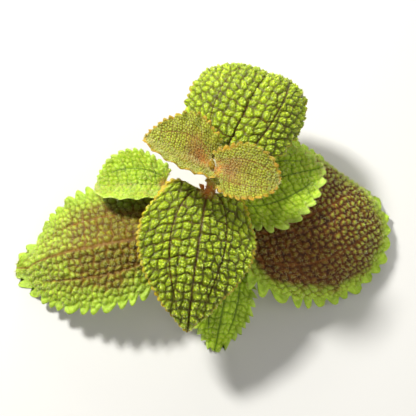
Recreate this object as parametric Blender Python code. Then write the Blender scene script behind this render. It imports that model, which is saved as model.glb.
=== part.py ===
"""Friendship plant sprig: a leaning cut stem with crossed pairs of quilted leaves, resting on its lowest leaves.

Lengths in the tables are millimetres and angles degrees. MM turns them into metres when a mesh is made.
A leaf is worked out flat, as along and across its midrib, and then bent along an arching midrib.
"""

import bmesh
import bpy
import numpy as np

MM = 0.001
RAD = np.pi / 180

# The table's middle of the footprint, which the finished sprig has at the origin
FOOTPRINT_CENTRE = (-3.0, -7.9, 0.0)

BLADE_THICKNESS = 0.9
STALK_RADIUS = 1.15
THIN_STALK_RADIUS = 0.85
MIDRIB_DEPTH = 1.0
MIDRIB_WIDTH = 1.4
RIM_ANGLE = 80
SPINE_STEPS = 240
BLADE_ROWS = 19
PETIOLE_ROWS = 6
ACROSS = 11
FIRST_ROW, LAST_ROW = 0.004, 0.992
LEAST_HEIGHT_OF_TOP = 0.7
LANDING_HEIGHT, LANDING_BEND = 0.3, 2.5

STEM_PATH = [(1, -5, 0), (1, -11, 13), (1, -14, 29), (1, -9, 46), (1, -6, 59.5)]
STEM_RADII = [2.2, 2.1, 1.9, 1.6, 1.2]
NODE_HEIGHTS = (13, 29, 46)
NODE_SWELLING = 0.45
NODE_LENGTH = 1.6
STEM_SIDES = 18
STEM_ROWS = 48

SHOOT_RADIUS = 1.15
SHOOTS = {
    "left_side_shoot": [(-2.1, -13.0, 31.7), (-3.5, -12.8, 34), (-4.2, -12.4, 37)],
    "right_side_shoot": [(4.1, -12.9, 31.6), (4.7, -12.2, 33.5), (5.0, -11.4, 35.5)],
}

BUDS = {
    "terminal_bud": ((1.3, -6, 60.1), (1.4, -5.5, 63.6), 0.7),
    "left_shoot_bud": ((-4.3, -12.3, 37.6), (-4.7, -12.1, 40.6), 0.9),
    "right_shoot_bud": ((5.1, -11.2, 36.1), (5.3, -10.8, 39), 0.9),
}

STIPULE_HEIGHT = 4.5
STIPULE_WIDTH = 3.0
STIPULE_THICKNESS = 0.7
STIPULES = {
    "upper_stipule_left": ((-1.35, -9.2, 47.4), (-1, 0, 0)),
    "upper_stipule_right": ((3.35, -9.2, 47.4), (1, 0, 0)),
    "lower_stipule_front": ((1.0, -16.7, 30.4), (0, -1, 0)),
    "lower_stipule_back": ((1.0, -10.9, 29.2), (0, 1, 0)),
}


class Leaf:
    """One leaf's sizes: length, left and right half widths, and how its midrib and halves bend."""

    def __init__(
        self, foot, leave, base, length, halves, heading, rise, droop, material,
        bend=1.4, sweep=0.0, fold=(0.0, 0.0), curl=(0.0, 0.0), base_exp=0.5, tip_exp=0.9, lobe=0.06,
        stalk=STALK_RADIUS,
    ):
        self.foot, self.leave, self.base = np.array(foot, float), np.array(leave, float), np.array(base, float)
        self.stalk = stalk
        self.length, self.halves, self.material = length, halves, material
        self.heading, self.sweep = heading, sweep
        self.rise, self.droop, self.bend = rise, droop, bend
        self.fold, self.curl = fold, curl
        self.base_exp, self.tip_exp, self.lobe = base_exp, tip_exp, lobe


LEAVES = {
    "young_leaf_left": Leaf(
        (-1.4, -5.5, 58.4), (-3, 0.6, 3), (-0.6, -5.4, 61.6), 25.5, (13, 15), 160, 25, 30, "young_leaf",
        fold=(45, 0), base_exp=0.42, tip_exp=0.75, lobe=0.18, stalk=THIN_STALK_RADIUS,
    ),
    "young_leaf_right": Leaf(
        (3.4, -6.4, 58.4), (3, -0.6, 3), (3.3, -6.6, 61.2), 24.5, (11, 11.5), -17, 20, 35, "young_leaf",
        fold=(25, 10), base_exp=0.45, tip_exp=0.6, lobe=0.14, stalk=THIN_STALK_RADIUS,
    ),
    "back_leaf": Leaf(
        (2.2, -5.9, 47.6), (3, 6, 7), (5.4, -0.4, 53.0), 60, (27.5, 25.5), 65, 22, 112, "bright_leaf",
        bend=1.6, fold=(10, 20), curl=(-60, -90), tip_exp=0.55, lobe=0.1,
    ),
    "front_leaf": Leaf(
        (0.8, -12.3, 45.4), (-1, -3, 4), (-0.3, -11.5, 50.3), 57, (23.5, 23.5), -99, 5, 60, "bright_leaf",
        sweep=1, fold=(-25, 0), tip_exp=1.0, lobe=0.12,
    ),
    "lower_leaf_left": Leaf(
        (-1.5, -16.6, 28.4), (-7, -4, 7), (-8, -21, 33), 86, (25.5, 27.5), 192, 5, 80, "bronze_leaf",
        sweep=-16, fold=(-25, -14), tip_exp=0.62,
    ),
    "lower_leaf_right": Leaf(
        (3.8, -16.0, 28.5), (9, -7, 8), (13, -24.5, 31.5), 79, (36, 39), 7, 5, 88, "bronze_leaf",
        bend=1.7, sweep=42, fold=(0, -8), curl=(-8, -74), base_exp=0.55, tip_exp=0.8,
    ),
    "side_leaf_left": Leaf(
        (-6.3, -11.6, 36.8), (-8, 4, 3), (-17, -2, 31), 28, (14, 15), 180, 10, 30, "light_leaf",
        fold=(45, 5), base_exp=0.45, tip_exp=0.5, lobe=0.12, stalk=THIN_STALK_RADIUS,
    ),
    "side_leaf_front": Leaf(
        (-4.2, -14.7, 36.2), (0, -30, -14), (11.5, -24, 24), 48, (13, 11.2), -103, -10, 60, "light_leaf",
        fold=(-30, 0), base_exp=0.8, tip_exp=0.72, stalk=THIN_STALK_RADIUS,
    ),
    "side_leaf_right": Leaf(
        (6.9, -10.2, 35.0), (3, 3, 1), (9.7, -6.3, 35.2), 38.5, (16, 20.5), 17, 10, 30, "light_leaf",
        base_exp=0.42, tip_exp=0.75, stalk=THIN_STALK_RADIUS,
    ),
    "side_leaf_right_inner": Leaf(
        (6.0, -13.6, 35.0), (2, -3, 2), (8.2, -16.8, 38.0), 20, (7, 7), -70, 10, 35, "light_leaf",
        stalk=THIN_STALK_RADIUS,
    ),
}

# Colour, roughness of each principled material
MATERIALS = {
    "stem": ((0.42, 0.13, 0.05), 0.55),
    "young_leaf": ((0.36, 0.25, 0.04), 0.6),
    "bright_leaf": ((0.22, 0.33, 0.02), 0.4),
    "bronze_leaf": ((0.13, 0.07, 0.02), 0.6),
    "light_leaf": ((0.20, 0.36, 0.05), 0.5),
}


def unit(vectors):
    return vectors / np.linalg.norm(vectors, axis=-1, keepdims=True)


def smooth_path(points, rows):
    """Catmull-Rom curve through the points, with the same number of rows between each pair."""
    points = np.array(points, float)
    padded = np.vstack([2 * points[0] - points[1], points, 2 * points[-1] - points[-2]])
    at = np.linspace(0, len(points) - 1, rows)
    part = np.minimum(at.astype(int), len(points) - 2)
    u = (at - part)[:, None]
    before, start, end, after = (padded[part + i] for i in range(4))
    return start + 0.5 * u * (
        end - before
        + u * (2 * before - 5 * start + 4 * end - after + u * (3 * (start - end) + after - before))
    )


def direction(pitch, yaw):
    return np.stack([np.cos(pitch) * np.cos(yaw), np.cos(pitch) * np.sin(yaw), np.sin(pitch)], -1)


def midrib(leaf):
    """Points along the arching midrib with its frame. Where it comes down to the surface it turns to lie along it."""
    s = np.linspace(0, leaf.length, SPINE_STEPS + 1)
    q = s / leaf.length
    pitch = RAD * (leaf.rise - leaf.droop * q**leaf.bend)
    yaw = RAD * (leaf.heading + leaf.sweep * q)
    height = leaf.base[2]
    for i, angle in enumerate(pitch):
        pitch[i] = angle * np.clip((height - LANDING_HEIGHT) / LANDING_BEND, 0, 1)
        height += np.sin(pitch[i]) * s[1]
    ahead = direction(pitch, yaw)
    side = direction(0 * yaw, yaw + np.pi / 2)
    steps = (ahead[1:] + ahead[:-1]) / 2 * s[1]
    centre = leaf.base + np.vstack([np.zeros(3), np.cumsum(steps, 0)])
    return s, centre, ahead, side, np.cross(ahead, side)


def blade_point(leaf, along, across, height):
    """Bends flat leaf points into place: across is positive to the left of the heading, height along the normal."""
    s, centre, ahead, side, up = midrib(leaf)

    def at(table):
        return np.stack([np.interp(along, s, table[:, i]) for i in range(3)], -1)

    left = across > 0
    fold = RAD * np.where(left, *leaf.fold)
    curl = np.where(left, *leaf.curl)
    bow = RAD * np.where(curl == 0, 1e-4, curl) / np.where(left, *leaf.halves)
    angle = fold + bow * np.abs(across)
    out = (np.sin(angle) - np.sin(fold)) / bow
    rise = (np.cos(fold) - np.cos(angle)) / bow
    beyond = along - np.clip(along, 0, leaf.length)
    sideways = np.sign(across) * (out - height * np.sin(angle))
    upwards = rise + height * np.cos(angle)
    offsets = (at(ahead), beyond), (at(side), sideways), (at(up), upwards)
    return at(centre) + sum(axis * distance[..., None] for axis, distance in offsets)


def margin(leaf, q, half):
    """Flat margin at fraction q of the length: along and across, with two lobes behind the petiole's end."""
    top = leaf.base_exp / (leaf.base_exp + leaf.tip_exp)
    across = half * (q / top) ** leaf.base_exp * ((1 - q) / (1 - top)) ** leaf.tip_exp
    lobes = np.exp(-(((q - 0.05) / 0.07) ** 2)) - np.exp(-((0.05 / 0.07) ** 2)) * (1 - q) ** 30
    return leaf.length * (q - leaf.lobe * lobes), across


def blade_rings(leaf):
    """Closed rings across the blade from its base to its tip, upper face from right to left and lower face back."""
    q = FIRST_ROW + (LAST_ROW - FIRST_ROW) * np.linspace(0, 1, BLADE_ROWS)[:, None] ** 1.3
    v = np.linspace(-1, 1, ACROSS)[None, :]
    half = np.where(v > 0, *leaf.halves)
    margin_along, margin_across = margin(leaf, q, half)
    along = leaf.length * q + (margin_along - leaf.length * q) * v**2
    across = v * margin_across
    rib = MIDRIB_DEPTH * (1 - q) * np.exp(-((across / MIDRIB_WIDTH) ** 2))
    over = blade_point(leaf, along, across, np.full(along.shape, BLADE_THICKNESS / 2))
    under = blade_point(leaf, along, across, -BLADE_THICKNESS / 2 - rib)
    over[..., 2] = np.maximum(over[..., 2], LEAST_HEIGHT_OF_TOP)
    under[..., 2] = np.maximum(under[..., 2], 0)
    return np.concatenate([over, under[:, ::-1]], 1)


def petiole_rings(leaf):
    """Rings of the leaf stalk, from near the stem to the base of the blade."""
    u = np.linspace(0, 1, PETIOLE_ROWS, endpoint=False)[:, None]
    chord = leaf.base - leaf.foot
    end = direction(RAD * leaf.rise, RAD * leaf.heading) * np.linalg.norm(chord)
    path = leaf.foot + (3 * u**2 - 2 * u**3) * chord + (u**3 - 2 * u**2 + u) * leaf.leave + (u**3 - u**2) * end
    ahead = unit(6 * (u - u**2) * chord + (3 * u**2 - 4 * u + 1) * leaf.leave + (3 * u**2 - 2 * u) * end)
    side = unit(np.cross([0, 0, 1], ahead))
    up = np.cross(ahead, side)
    turn = RAD * RIM_ANGLE * np.linspace(-1, 1, ACROSS)
    turn = np.concatenate([turn, np.pi - turn[::-1]])[None, :, None]
    return path[:, None] + leaf.stalk * (side[:, None] * np.sin(turn) + up[:, None] * np.cos(turn))


def tube_rings(path, radii, sides, flat_start=False):
    """Round rings along a path. A flat start lies in the horizontal plane, as a stem cut level does."""
    ahead = unit(np.gradient(path, axis=0))
    if flat_start:
        level = np.linspace(1, 0, 6)[:, None]
        ahead[:6] = unit(ahead[:6] * (1 - level) + np.array([0, 0, 1]) * level)
    side = unit(np.cross([0, 1, 0], ahead))
    up = np.cross(ahead, side)
    turn = np.linspace(0, 2 * np.pi, sides, endpoint=False)[None, :, None]
    return path[:, None] + radii[:, None, None] * (side[:, None] * np.cos(turn) + up[:, None] * np.sin(turn))


def stem_rings():
    path = smooth_path(STEM_PATH, STEM_ROWS)
    radii = np.interp(path[:, 2], [p[2] for p in STEM_PATH], STEM_RADII)
    for height in NODE_HEIGHTS:
        radii = radii + NODE_SWELLING * np.exp(-(((path[:, 2] - height) / NODE_LENGTH) ** 2))
    return tube_rings(path, radii, STEM_SIDES, flat_start=True)


def shoot_rings(points):
    path = smooth_path(points, 12)
    u = np.linspace(0, 1, len(path))
    return tube_rings(path, SHOOT_RADIUS * (1 + 0.2 * np.exp(-(((u - 0.9) / 0.12) ** 2))), 14)


def bud_rings(base, tip, radius):
    """A pointed bud, widest at a third of its height."""
    u = np.linspace(0, 1, 12)[:, None]
    path = np.array(base) * (1 - u) + np.array(tip) * u
    u = u[:, 0]
    return tube_rings(path, radius * (0.18 + 0.9 * np.sin(np.pi * (0.12 + 0.86 * u) ** 0.8)), 12)


def stipule_rings(base, outward):
    """A thin pointed scale that stands against the stem, leaning outwards."""
    u = np.linspace(0, 1, 9)[:, None, None]
    outward = np.array(outward, float)
    side = np.cross([0, 0, 1], outward)
    turn = np.linspace(0, 2 * np.pi, 12, endpoint=False)[None, :, None]
    width = STIPULE_WIDTH / 2 * (1 - u) ** 0.7 + 0.12
    depth = STIPULE_THICKNESS / 2 * (1 - 0.7 * u)
    rise = np.array([0, 0, STIPULE_HEIGHT]) + outward * 1.6
    return (
        np.array(base) + outward * STIPULE_THICKNESS / 2 + rise * u
        + side * width * np.cos(turn) + outward * depth * np.sin(turn)
    )


def make_material(name):
    color, roughness = MATERIALS[name]
    material = bpy.data.materials.new(name)
    material.use_nodes = True
    shader = material.node_tree.nodes["Principled BSDF"]
    shader.inputs["Base Color"].default_value = (*color, 1)
    shader.inputs["Roughness"].default_value = roughness
    shader.inputs["Metallic"].default_value = 0
    return material


def add_solid(name, rings, material):
    """Joins the rings into one closed, smooth-shaded solid with a flat cap at each end."""
    rows, sides, _ = rings.shape
    mesh = bpy.data.meshes.new(name)
    shape = bmesh.new()
    places = (rings.reshape(-1, 3) - FOOTPRINT_CENTRE) * MM
    verts = [shape.verts.new(place) for place in places]
    for row in range(rows - 1):
        for k in range(sides):
            here, after = row * sides + k, row * sides + (k + 1) % sides
            shape.faces.new([verts[here], verts[after], verts[after + sides], verts[here + sides]])
    shape.faces.new(verts[:sides])
    shape.faces.new(verts[-sides:])
    bmesh.ops.recalc_face_normals(shape, faces=shape.faces)
    for face in shape.faces:
        face.smooth = len(face.verts) == 4
    shape.to_mesh(mesh)
    shape.free()
    mesh.materials.append(material)
    obj = bpy.data.objects.new(name, mesh)
    bpy.context.scene.collection.objects.link(obj)
    return obj


def main():
    for obj in list(bpy.data.objects):
        bpy.data.objects.remove(obj)
    bpy.context.scene.unit_settings.scale_length = 1
    materials = {name: make_material(name) for name in MATERIALS}
    add_solid("main_stem", stem_rings(), materials["stem"])
    for name, points in SHOOTS.items():
        add_solid(name, shoot_rings(points), materials["stem"])
    for name, (base, tip, radius) in BUDS.items():
        add_solid(name, bud_rings(base, tip, radius), materials["young_leaf"])
    for name, (base, outward) in STIPULES.items():
        add_solid(name, stipule_rings(base, outward), materials["stem"])
    for name, leaf in LEAVES.items():
        rings = np.concatenate([petiole_rings(leaf), blade_rings(leaf)])
        add_solid(name, rings, materials[leaf.material])


if __name__ == "__main__":
    main()
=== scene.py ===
"""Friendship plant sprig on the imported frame: quilted leaves, hairy stalks, stem, buds, stage and camera.

The sizes in the tables are millimetres and degrees, as on the growing plant. MM turns them into metres.
A leaf is worked out flat, as along and across its midrib, and then bent along an arching midrib.
"""

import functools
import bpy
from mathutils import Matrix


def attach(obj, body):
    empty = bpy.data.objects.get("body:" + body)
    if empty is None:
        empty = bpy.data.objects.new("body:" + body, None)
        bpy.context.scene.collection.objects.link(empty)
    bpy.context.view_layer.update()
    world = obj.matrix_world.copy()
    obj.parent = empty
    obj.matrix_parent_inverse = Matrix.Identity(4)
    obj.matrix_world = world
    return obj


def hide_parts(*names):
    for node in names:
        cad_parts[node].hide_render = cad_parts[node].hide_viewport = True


bl_info = {
    "name": "Friendship Plant Sprig",
    "version": (1, 0, 0),
    "blender": (4, 5, 0),
    "location": "View3D > Sidebar > Sprig",
    "description": "Builds the quilted leaves, stem, hairs and stage of a cut friendship plant sprig",
    "category": "Object",
}

import bpy
import numpy as np
from mathutils import Vector

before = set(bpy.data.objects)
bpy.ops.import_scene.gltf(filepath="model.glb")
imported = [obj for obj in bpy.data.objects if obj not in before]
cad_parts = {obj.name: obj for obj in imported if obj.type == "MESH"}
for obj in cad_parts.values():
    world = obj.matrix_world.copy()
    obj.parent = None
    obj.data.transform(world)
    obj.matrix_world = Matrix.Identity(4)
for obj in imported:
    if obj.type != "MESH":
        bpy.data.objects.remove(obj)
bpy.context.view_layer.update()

MM = 0.001
RAD = np.pi / 180

# The middle of the footprint in the tables' coordinates
FOOTPRINT_CENTRE = np.array([-3.0, -7.9, 0.0])

STALK_RADIUS = 1.15
THIN_STALK = 0.85
# Where the blade's rims join the stalk, in degrees from its top
RIM_ANGLE = 80
SPINE_STEPS = 240
STALK_ROWS = 14

# The blade's first and last rows as parts of its length. The rows stand closer at the base by this power
FIRST_ROW, LAST_ROW = 0.0006, 0.997
ROWS_FOR_STEP = 1.12
ROW_CROWDING = 1.3

# A midrib turns level over the last stretch above its landing height
LANDING_HEIGHT, LANDING_BEND = 0.3, 2.5
# A blade's faces come no nearer to the surface than this
LEAST_HEIGHT_OF_TOP = 0.45
LEAST_HEIGHT_OF_UNDERSIDE = 0.02

# The base's lobes, as parts of the length
LOBE_AT, LOBE_SPREAD = 0.05, 0.07

# A wave's mean height, and the part of the pitch over which a pointed tooth climbs
TOOTH_MEAN = 0.45
TOOTH_CLIMB = 0.82
# A high power keeps the teeth at the rim. They bend up by this part of their depth, over this reach
RIM_POWER = 6
TOOTH_LIFT, TOOTH_LIFT_REACH = 0.45, 1.4
RIM_THINNESS = 0.35

# The lattice of puckers and of the lumps on them. Widths and waves are parts of a pucker's cell
PUCKER_JITTER, LUMP_JITTER = 0.3, 0.45
RUNG_SWING = 0.35
WAVE_ALONG, WAVE_ACROSS = 0.14, 0.12
DOME_EDGE, CONE_REACH = 0.26, 0.68
LUMPS_IN_CELL, LUMP_EDGE = 2.6, 0.15
CELLS_BETWEEN_RUNGS = 2

# The side vein's place as a part of the half width, and the ribs that the veins raise below the blade
SIDE_VEIN_AT = 0.46
MIDRIB_HEIGHT, MIDRIB_WIDTH = 0.9, 0.75
SIDE_RIB_HEIGHT, SIDE_RIB_WIDTH = 0.35, 0.5

HAIR_SEED = 11
# A hair's root is this far under the skin. Its length varies between two parts of the full one
HAIR_ROOT = 0.08
HAIR_SPREAD = 0.35
SHORTEST_HAIR, LONGEST_HAIR = 0.55, 1.2
LEAST_HAIR_WEIGHT = 0.02
LEAST_HAIRS = 4

STEM_PATH = [(1, -5, 0), (1, -11, 13), (1, -14, 29), (1, -9, 46), (1, -6, 59.5)]
STEM_RADII = [2.2, 2.1, 1.9, 1.6, 1.2]
NODE_HEIGHTS = (13, 29, 46)
NODE_SWELLING, NODE_REACH = 0.45, 1.6
STEM_RINGS, STEM_SIDES = 150, 48
SHOOT_RADIUS = 1.15
SHOOT_RINGS, SHOOT_SIDES = 40, 32
BUD_RINGS, BUD_SIDES = 40, 36
STIPULE_RINGS, STIPULE_SIDES = 30, 28
STIPULE_WIDTH, STIPULE_THICKNESS = 1.5, 0.3
STIPULE_HEIGHT, STIPULE_LEAN, STIPULE_BOW = 4.5, 1.6, 0.3
SHOOTS = {
    "left_side_shoot": [(-2.1, -13.0, 31.7), (-3.5, -12.8, 34), (-4.2, -12.4, 37)],
    "right_side_shoot": [(4.1, -12.9, 31.6), (4.7, -12.2, 33.5), (5.0, -11.4, 35.5)],
}
BUDS = {
    "terminal_bud": ((1.3, -6, 59.6), (1.5, -3.9, 64.0), 1.5),
    "left_shoot_bud": ((-4.3, -12.3, 37.6), (-4.7, -12.1, 40.6), 0.9),
    "right_shoot_bud": ((5.1, -11.2, 36.1), (5.3, -10.8, 39), 0.9),
}
STIPULES = {
    "upper_stipule_left": ((-1.35, -9.2, 47.4), (-1, 0, 0)),
    "upper_stipule_right": ((3.35, -9.2, 47.4), (1, 0, 0)),
    "lower_stipule_front": ((1.0, -16.7, 30.4), (0, -1, 0)),
    "lower_stipule_back": ((1.0, -10.9, 29.2), (0, 1, 0)),
}

# The number and the length of the hairs on each piece
STEM_HAIRS = (1400, 0.9)
SHOOT_HAIRS = (120, 0.8)
BUD_HAIRS = (160, 0.8)
STIPULE_HAIRS = (40, 0.5)

# The photograph's view: straight from the front, 70 degrees up
VIEW_ELEVATION = 70
VIEW_DISTANCE = 416
VIEW_LENS = 90
VIEW_TARGET = np.array([0.0, -10.9, 30.0])
CAMERA_CLIP_START = 0.01

# Each light's place and side in millimetres, and its watts
LIGHTS = {
    "key_light": ((-300, 230, 520), 90, 5.3),
    "fill_light": ((420, -260, 420), 500, 1.4),
    "rim_light": ((120, 520, 260), 300, 1.2),
}
LIGHT_AIM = (0, 0, 30)
SKY_STRENGTH = 0.24
FLOOR_HALF_SIDE = 3000


class Leaf:
    """One leaf's sizes, seen from the stem along its heading.

    The stalk leaves the stem at foot, along the arrow leave, and meets the blade at base. halves are the
    widths of the left and right half. The midrib starts at the heading and the rise, and over its length it
    turns by the sweep and falls by the droop, later for a higher bend. Each half leaves the midrib at its
    fold and bends by its curl. Low exponents make the base or the tip blunt, and lobe is how far the base
    reaches back.
    """

    def __init__(
        self, foot, leave, base, length, halves, heading, rise, droop,
        bend=1.4, sweep=0.0, fold=(0.0, 0.0), curl=(0.0, 0.0), base_exp=0.5, tip_exp=0.9, lobe=0.06,
        stalk=STALK_RADIUS,
    ):
        self.foot, self.leave, self.base = (np.array(place, float) for place in (foot, leave, base))
        self.stalk = stalk
        self.length, self.halves = length, halves
        self.heading, self.sweep = heading, sweep
        self.rise, self.droop, self.bend = rise, droop, bend
        self.fold, self.curl = fold, curl
        self.base_exp, self.tip_exp, self.lobe = base_exp, tip_exp, lobe


YOUNG_LEAVES = {
    "young_leaf_left": Leaf(
        foot=(-1.4, -5.5, 58.4), leave=(-3, 0.6, 3), base=(-0.6, -5.4, 61.6),
        length=25.5, halves=(13, 17), heading=160, rise=25, droop=30,
        fold=(45, 0), base_exp=0.42, tip_exp=0.75, lobe=0.18, stalk=THIN_STALK,
    ),
    "young_leaf_right": Leaf(
        foot=(3.4, -6.4, 58.4), leave=(3, -0.6, 3), base=(3.3, -6.6, 61.2),
        length=24.5, halves=(11, 11.5), heading=-17, rise=20, droop=35,
        fold=(25, 10), base_exp=0.45, tip_exp=0.6, lobe=0.14, stalk=THIN_STALK,
    ),
}
BRIGHT_LEAVES = {
    "back_leaf": Leaf(
        foot=(2.2, -5.9, 47.6), leave=(3, 6, 7), base=(5.4, -0.4, 53.0),
        length=60, halves=(27.5, 25.5), heading=65, rise=22, droop=112, bend=1.6,
        fold=(10, 20), curl=(-60, -90), tip_exp=0.55, lobe=0.1,
    ),
    "front_leaf": Leaf(
        foot=(0.8, -12.3, 45.4), leave=(-1, -3, 4), base=(-0.3, -11.5, 50.3),
        length=57, halves=(23.5, 23.5), heading=-99, rise=5, droop=60, sweep=1,
        fold=(-25, 0), tip_exp=1.0, lobe=0.12,
    ),
}
BRONZE_LEAVES = {
    "lower_leaf_left": Leaf(
        foot=(-1.5, -16.6, 28.4), leave=(-7, -4, 7), base=(-8, -21, 33),
        length=86, halves=(25.5, 27.5), heading=192, rise=5, droop=80, sweep=-16,
        fold=(-25, -14), tip_exp=0.62,
    ),
    "lower_leaf_right": Leaf(
        foot=(3.8, -16.0, 28.5), leave=(9, -7, 8), base=(13, -24.5, 31.5),
        length=78, halves=(33, 42), heading=10, rise=4, droop=86, bend=1.8, sweep=52,
        fold=(3, -8), curl=(0, -70), base_exp=0.6, tip_exp=0.66,
    ),
}
SIDE_LEAVES = {
    "side_leaf_left": Leaf(
        foot=(-6.3, -11.6, 36.8), leave=(-8, 4, 3), base=(-17, -2, 31),
        length=28, halves=(14, 15), heading=180, rise=10, droop=30,
        fold=(45, 5), base_exp=0.45, tip_exp=0.5, lobe=0.12, stalk=THIN_STALK,
    ),
    "side_leaf_front": Leaf(
        foot=(-4.2, -14.7, 36.2), leave=(0, -30, -14), base=(11.5, -24, 24),
        length=48, halves=(13, 11.2), heading=-103, rise=-10, droop=60,
        fold=(-30, 0), base_exp=0.8, tip_exp=0.72, stalk=THIN_STALK,
    ),
    "side_leaf_right": Leaf(
        foot=(6.9, -10.2, 35.0), leave=(3, 3, 1), base=(9.7, -6.3, 35.2),
        length=38.5, halves=(16, 20.5), heading=17, rise=10, droop=30,
        base_exp=0.42, tip_exp=0.75, stalk=THIN_STALK,
    ),
    "side_leaf_right_inner": Leaf(
        foot=(6.0, -13.6, 35.0), leave=(2, -3, 2), base=(8.2, -16.8, 38.0),
        length=20, halves=(7, 7), heading=-70, rise=10, droop=35,
        stalk=THIN_STALK,
    ),
}


class Quilt:
    """How one leaf is puckered, veined, toothed, coloured by zone, and haired.

    cell is the puckers' spacing and relief their height. peak goes from 0, rounded blocks, to 1, cones, and
    wrinkle is how strongly smaller lumps break them up. vein holds a width and a depth, and tooth a pitch, a
    depth and a point from 0, scallops, to 1, saw teeth. middle is the distance from the margin over which the
    middle's colours set in, middle_end the part of the length over which they stop, and band where the
    margin's own colour fades. hairs holds their number and length, grid is the surface's step, and ruffle the
    height of the margin's waves.
    """

    def __init__(
        self, cell, relief, peak, wrinkle, vein, tooth, middle, middle_end, band, hairs,
        grid=0.42, ruffle=0.4,
    ):
        self.cell, self.relief, self.peak, self.wrinkle = cell, relief, peak, wrinkle
        self.vein_width, self.vein_depth = vein
        self.tooth_pitch, self.tooth_depth, self.tooth_point = tooth
        self.middle, self.middle_end, self.band = middle, middle_end, band
        self.hairs, self.grid, self.ruffle = hairs, grid, ruffle


QUILTS = {
    "young_leaf_left": Quilt(
        cell=1.0, relief=0.42, peak=0.5, wrinkle=0.3, vein=(0.22, 0.12), tooth=(2.6, 1.7, 0.25),
        middle=(4, 9), middle_end=(0.1, 0.6), band=(0, 1.5), hairs=(4000, 0.8), grid=0.24, ruffle=0.5,
    ),
    "young_leaf_right": Quilt(
        cell=1.0, relief=0.42, peak=0.5, wrinkle=0.3, vein=(0.22, 0.12), tooth=(2.5, 1.6, 0.25),
        middle=(3, 8), middle_end=(0.15, 0.7), band=(0, 1.5), hairs=(4000, 0.8), grid=0.24, ruffle=0.3,
    ),
    "back_leaf": Quilt(
        cell=3.3, relief=1.15, peak=0.2, wrinkle=0.9, vein=(0.34, 0.45), tooth=(5.4, 1.6, 0.1),
        middle=(6, 12), middle_end=(0.8, 1), band=(0, 1.2), hairs=(4200, 0.7), grid=0.32,
    ),
    "front_leaf": Quilt(
        cell=3.3, relief=1.15, peak=0.2, wrinkle=0.9, vein=(0.36, 0.45), tooth=(2.5, 0.9, 0.2),
        middle=(6, 12), middle_end=(0.8, 1), band=(0, 1.7), hairs=(4200, 0.7), grid=0.32,
    ),
    "lower_leaf_left": Quilt(
        cell=3.0, relief=1.25, peak=0.6, wrinkle=0.6, vein=(0.45, 0.4), tooth=(6.2, 3.8, 0.3),
        middle=(5, 12), middle_end=(0.5, 0.85), band=(0.5, 5), hairs=(9000, 1.1),
    ),
    "lower_leaf_right": Quilt(
        cell=2.6, relief=1.2, peak=0.8, wrinkle=0.6, vein=(0.42, 0.35), tooth=(6.6, 4.6, 0.35),
        middle=(5.5, 10.5), middle_end=(0.72, 0.95), band=(1.2, 5.5), hairs=(9000, 1.1),
    ),
    "side_leaf_left": Quilt(
        cell=1.9, relief=0.5, peak=0.2, wrinkle=0.6, vein=(0.28, 0.25), tooth=(2.8, 1.3, 0.2),
        middle=(3, 7), middle_end=(0.5, 1), band=(0, 2), hairs=(4500, 1.1), grid=0.28,
    ),
    "side_leaf_front": Quilt(
        cell=2.6, relief=0.6, peak=0.2, wrinkle=0.6, vein=(0.35, 0.3), tooth=(3.9, 2.6, 0.9),
        middle=(3, 7), middle_end=(0.5, 1), band=(0, 1.6), hairs=(1500, 0.7), grid=0.3,
    ),
    "side_leaf_right": Quilt(
        cell=2.3, relief=0.6, peak=0.2, wrinkle=0.7, vein=(0.32, 0.25), tooth=(5.2, 3.2, 0.25),
        middle=(3, 8), middle_end=(0.5, 1), band=(0.4, 3), hairs=(4500, 1.0), grid=0.3,
    ),
    "side_leaf_right_inner": Quilt(
        cell=2.4, relief=0.5, peak=0.2, wrinkle=0.3, vein=(0.4, 0.3), tooth=(2.8, 1.0, 0.2),
        middle=(3, 7), middle_end=(0.5, 1), band=(0, 2), hairs=(600, 0.7), grid=0.32,
    ),
}


def unit(vectors):
    """Each vector divided by its length."""
    return vectors / np.maximum(np.linalg.norm(vectors, axis=-1, keepdims=True), 1e-9)


def ease(x, low, high):
    """Smooth step: 3u^2 - 2u^3, where u is x's place between low and high."""
    u = np.clip((x - low) / (high - low), 0, 1)
    return u * u * (3 - 2 * u)


def smooth_path(points, rows):
    """Catmull-Rom curve: a cubic through each pair of points with the slope between their neighbours."""
    points = np.array(points, float)
    padded = np.vstack([2 * points[0] - points[1], points, 2 * points[-1] - points[-2]])
    at = np.linspace(0, len(points) - 1, rows)
    part = np.minimum(at.astype(int), len(points) - 2)
    u = (at - part)[:, None]
    before, start, end, after = (padded[part + i] for i in range(4))
    return start + 0.5 * u * (
        end - before
        + u * (2 * before - 5 * start + 4 * end - after + u * (3 * (start - end) + after - before))
    )


def direction(pitch, yaw):
    """Unit vector that climbs by pitch and heads by yaw."""
    return np.stack([np.cos(pitch) * np.cos(yaw), np.cos(pitch) * np.sin(yaw), np.sin(pitch)], -1)


def midrib(leaf):
    """Running sum of short steps along the heading, whose pitch falls as a power of the distance.

    Where the midrib comes down to the surface it turns to lie along it.
    """
    s = np.linspace(0, leaf.length, SPINE_STEPS + 1)
    q = s / leaf.length
    pitch = RAD * (leaf.rise - leaf.droop * q**leaf.bend)
    yaw = RAD * (leaf.heading + leaf.sweep * q)
    height = leaf.base[2]
    for i, angle in enumerate(pitch):
        pitch[i] = angle * np.clip((height - LANDING_HEIGHT) / LANDING_BEND, 0, 1)
        height += np.sin(pitch[i]) * s[1]
    ahead = direction(pitch, yaw)
    side = direction(0 * yaw, yaw + np.pi / 2)
    steps = (ahead[1:] + ahead[:-1]) / 2 * s[1]
    centre = leaf.base + np.vstack([np.zeros(3), np.cumsum(steps, 0)])
    return s, centre, ahead, side, np.cross(ahead, side)


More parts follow.
